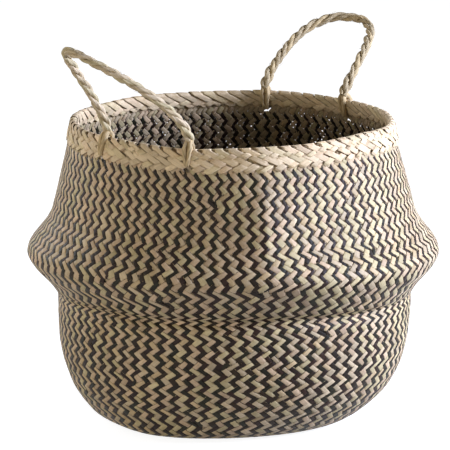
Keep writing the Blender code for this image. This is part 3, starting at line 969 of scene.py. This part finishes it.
ropes = {}
fibres = {}
for side, numbers in HANDLES.items():
    rng = np.random.default_rng(501 if side == "left" else 502)
    line, length = handle_route(*numbers)
    _, n, b = frames(line)
    tubes, tints = [], []
    total = length[-1]
    foot = np.minimum(length, total - length)
    draw = smooth(foot / FOOT_DRAWN)
    loose = np.exp(-((foot - FOOT_LOOSE[0]) / FOOT_LOOSE[1]) ** 2)
    lay = -length / LAY_LENGTH * math.tau + waves(length, LAY_WAVES)
    for ply in range(PLIES):
        phase = ply * math.tau / PLIES
        spin = lay + phase + waves(length, ((0.12, 0.017, ply),))
        helix = HELIX_RADIUS * (0.72 + 0.28 * draw + 0.24 * loose)
        helix = helix * (1 + waves(length, ((0.06, 0.011, ply * 2),)))
        path = line + helix[:, None] * (np.cos(spin)[:, None] * n + np.sin(spin)[:, None] * b)
        radius = PLY_RADIUS * (0.80 + 0.20 * draw + 0.10 * loose)
        radius = radius * (1 + waves(length, ((0.05, 0.019, ply * 1.7),)))
        flat, ring = ply_tube(path, length, radius, phase + ply, rng)
        tubes.append((flat, ring, length))
        hue = np.array([1.0, rng.uniform(0.96, 1.02), rng.uniform(0.86, 1.02)])
        # The right rope's tint carries the painted shade of its shaded side
        tints.append(ROPE_TONE * ROPE_PAINTED_SHADE[side] * hue * rng.uniform(0.88, 1.10))
    ropes[side] = rope_object(side + "_rope_plies", tubes, tints, rng)
    hair, hair_tints = stray_fibres(line, length, FIBRES, rng)
    fibres[side] = rope_object(side + "_rope_fibres", hair, hair_tints, rng)


LACE_DROP = 0.0178
LACE_SHADE = np.array([0.88, 0.80, 0.64])
ARCH_FOOT = 0.2882
ARCH_TOP = 0.2988
RIM_HALF = 0.0034
# By height: distance of each ply from the middle of its eye, and thickness
LACE_SPREAD = ((RIM_HEIGHT - LACE_DROP, 0.0008), (RIM_HEIGHT - 0.012, 0.0018), (RIM_HEIGHT - 0.001, 0.0028),
               (ARCH_TOP, 0.0012))
LACE_THICK = ((RIM_HEIGHT - LACE_DROP, 0.74), (RIM_HEIGHT - 0.004, 1.02), (ARCH_TOP, 1.18))


def lace_route():
    """Closed middle line of a ply: over the rim, down inside, and out through the hole."""
    half = RIM_HALF + PLY * 0.42
    low = RIM_HEIGHT - LACE_DROP
    points = []
    for step in range(25):
        angle = math.pi * step / 24
        points.append((half * math.cos(angle), ARCH_FOOT + (ARCH_TOP - ARCH_FOOT) * math.sin(angle)))
    points += [(-half, low + 0.004), (-half * 0.75, low + 0.001), (0.0, low), (half * 0.75, low + 0.001),
               (half, low + 0.004), (half, ARCH_FOOT)]
    line = np.array(points)
    length = np.concatenate([[0.0], np.cumsum(np.linalg.norm(np.diff(line, axis=0), axis=1))])
    even = np.linspace(0.0, length[-1], 73)[:-1]
    return np.stack([np.interp(even, length, line[:, i]) for i in (0, 1)], axis=1), even


def lace_eye(name, azimuth, rng):
    """Two plies of the opened rope that go round the rim and draw together at the hole under it."""
    route, length = lace_route()
    level = route[:, 1]
    tubes, tints = [], []
    cos_a, sin_a = math.cos(azimuth), math.sin(azimuth)
    sideways = np.array([-sin_a, cos_a, 0.0])
    ring = np.linspace(0, math.tau, 12, endpoint=False)
    for which in (-1, 1):
        side = which * np.interp(level, *zip(*LACE_SPREAD))
        radius = RIM_RADIUS + WALL_SLOPE * (WALL_TOP - level) - WALL / 2 + route[:, 0]
        path = np.stack([radius * cos_a - side * sin_a, radius * sin_a + side * cos_a, level], axis=1)
        thick = PLY / 2 * np.interp(level, *zip(*LACE_THICK))
        along = unit(np.roll(path, -1, axis=0) - np.roll(path, 1, axis=0))
        normal = unit(np.cross(along, sideways))
        binormal = np.cross(along, normal)
        spin = ring[None, :] + 2 * np.sin(length / length[-1] * math.tau)[:, None] * which
        ribs = 1 + 0.10 * np.cos(3 * ring + which)[None, :] + 0.06 * np.cos(5 * ring)[None, :]
        flat = path[:, None] + (thick[:, None] * ribs)[..., None] * (
            np.cos(spin)[..., None] * normal[:, None] + np.sin(spin)[..., None] * binormal[:, None])
        tubes.append((flat, ring, length))
        tints.append(ROPE_TONE * LACE_SHADE * rng.uniform(0.90, 1.05))
    return rope_object(name, tubes, tints, rng, loop=True)


eyes = {}
for key, azimuth in EYE_AZIMUTHS.items():
    eyes[key] = lace_eye(key + "_plies", azimuth, np.random.default_rng(len(key) + 600))


# What each piece rides on and which solids it stands for
STANDS_FOR = {
    "lower_bowl": ("bowl_foot_plait", "bowl_low_plait", "bowl_plait", "bowl_lining_plait"),
    "fold_band": ("waist_plait", "fold_plait", "fold_lining_plait"),
    "belly_wall": ("belly_plait", "shoulder_plait", "neck_plait", "wall_lining_plait", "neck_lining_plait"),
}
for name in ("bowl_foot_plait", "bowl_low_plait", "bowl_plait"):
    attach(plait[name], "lower")
for name in ("waist_plait", "fold_plait", "fold_lining_plait", "bowl_lining_plait", "belly_plait",
             "wall_lining_plait"):
    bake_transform(plait[name])
for name in ("shoulder_plait", "neck_plait", "neck_lining_plait"):
    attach(plait[name], "upper")
for piece in (base_under, base_over):
    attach(piece, "lower")
    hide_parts("base_mat")
for piece in (rim_out, rim_in, rim_edge):
    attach(piece, "upper")
for solid, rings in STANDS_FOR.items():
    for name in rings:
        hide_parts(solid)
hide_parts("rim_band_outer")
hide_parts("rim_band_inner")
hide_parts("rim_edge")
for side in HANDLES:
    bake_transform(ropes[side])
    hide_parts(side + "_handle_rope")
    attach(fibres[side], side + "_handle")
for key, obj in eyes.items():
    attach(obj, "upper")
    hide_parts(key)


# Floor, light and camera
FLOOR_HALF = 30.0
FLOOR_LEVEL = -0.0002
FLOOR_GREY = (0.38, 0.38, 0.38, 1.0)
FLOOR_GLOW = 0.90
LIGHT_AIM = Vector((0.0, 0.0, 0.16))
# Each lamp: azimuth from the camera's side, elevation, distance, size, power and colour
LAMPS = {
    "key": (math.radians(80), math.radians(22), 1.6, (0.8, 0.8), 52.0, (0.89, 1.00, 1.37)),
    "fill": (math.radians(-45), math.radians(5), 2.2, (2.6, 0.5), 21.5, (1.0, 0.94, 0.84)),
    "back": (math.radians(-128), math.radians(18), 2.2, (1.8, 0.9), 21.0, (0.95, 0.98, 1.06)),
}


def seen_rays(tree):
    """1 for camera, glossy and transmission rays, 0 for the rays that light the object."""
    rays = tree.nodes.new("ShaderNodeLightPath")
    most = node(tree, "ShaderNodeMath", operation="MAXIMUM")
    also = node(tree, "ShaderNodeMath", operation="MAXIMUM")
    tree.links.new(rays.outputs["Is Camera Ray"], most.inputs[0])
    tree.links.new(rays.outputs["Is Glossy Ray"], most.inputs[1])
    tree.links.new(most.outputs[0], also.inputs[0])
    tree.links.new(rays.outputs["Is Transmission Ray"], also.inputs[1])
    return also.outputs[0]


def floor():
    mesh = bpy.data.meshes.new("floor")
    corners = ((-1, -1), (1, -1), (1, 1), (-1, 1))
    mesh.from_pydata([(x * FLOOR_HALF, y * FLOOR_HALF, 0.0) for x, y in corners], [], [(0, 1, 2, 3)])
    obj = bpy.data.objects.new("floor", mesh)
    bpy.context.scene.collection.objects.link(obj)
    obj.location.z = FLOOR_LEVEL
    material = bpy.data.materials.new("floor_paper")
    material.use_nodes = True
    tree = material.node_tree
    tree.nodes.remove(tree.nodes["Principled BSDF"])
    out = tree.nodes["Material Output"]
    plain = tree.nodes.new("ShaderNodeBsdfDiffuse")
    plain.inputs["Color"].default_value = FLOOR_GREY
    glow = tree.nodes.new("ShaderNodeEmission")
    add = tree.nodes.new("ShaderNodeAddShader")
    level = node(tree, "ShaderNodeMath", operation="MULTIPLY")
    level.inputs[1].default_value = FLOOR_GLOW
    tree.links.new(seen_rays(tree), level.inputs[0])
    tree.links.new(level.outputs[0], glow.inputs["Strength"])
    tree.links.new(plain.outputs[0], add.inputs[0])
    tree.links.new(glow.outputs[0], add.inputs[1])
    tree.links.new(add.outputs[0], out.inputs["Surface"])
    mesh.materials.append(material)


def world():
    scene = bpy.context.scene
    scene.world = bpy.data.worlds.new("studio")
    scene.world.use_nodes = True
    tree = scene.world.node_tree
    ground = tree.nodes["Background"]
    ground.inputs["Color"].default_value = (1.0, 0.985, 0.96, 1.0)
    ground.inputs["Strength"].default_value = 0.12
    white = tree.nodes.new("ShaderNodeBackground")
    white.inputs["Color"].default_value = (1.0, 1.0, 1.0, 1.0)
    white.inputs["Strength"].default_value = 1.0
    mix = tree.nodes.new("ShaderNodeMixShader")
    tree.links.new(seen_rays(tree), mix.inputs["Fac"])
    tree.links.new(ground.outputs[0], mix.inputs[1])
    tree.links.new(white.outputs[0], mix.inputs[2])
    tree.links.new(mix.outputs[0], tree.nodes["World Output"].inputs["Surface"])


def area_light(name, azimuth, elevation, distance, size, power, colour):
    """A lamp that looks at the basket's middle; azimuth is from the camera's side, to its right."""
    lamp = bpy.data.lights.new(name, "AREA")
    lamp.shape = "RECTANGLE"
    lamp.size, lamp.size_y = size
    lamp.energy = power
    lamp.color = colour
    obj = bpy.data.objects.new(name, lamp)
    bpy.context.scene.collection.objects.link(obj)
    turn = FRONT_AZIMUTH + azimuth
    level = math.cos(elevation)
    back = Vector((math.cos(turn) * level, math.sin(turn) * level, math.sin(elevation)))
    obj.location = LIGHT_AIM + back * distance
    obj.rotation_euler = back.to_track_quat("Z", "Y").to_euler()


def camera():
    lens = bpy.data.cameras.new("camera")
    lens.sensor_width = SENSOR
    lens.lens = SENSOR * VIEW_DISTANCE / VIEW_WIDTH
    lens.clip_end = 100.0
    obj = bpy.data.objects.new("camera", lens)
    bpy.context.scene.collection.objects.link(obj)
    back = Vector((math.sin(VIEW_AZIMUTH) * math.cos(VIEW_ELEVATION),
                   -math.cos(VIEW_AZIMUTH) * math.cos(VIEW_ELEVATION), math.sin(VIEW_ELEVATION)))
    right = Vector((math.cos(VIEW_AZIMUTH), math.sin(VIEW_AZIMUTH), 0.0))
    up = back.cross(right)
    aim = VIEW_CENTRE + right * VIEW_RIGHT + up * VIEW_UP
    obj.location = aim + back * VIEW_DISTANCE
    obj.rotation_euler = back.to_track_quat("Z", "Y").to_euler()
    bpy.context.scene.camera = obj


floor()
world()
for name, numbers in LAMPS.items():
    area_light(name, *numbers)
camera()
bpy.context.scene.view_settings.view_transform = "Standard"
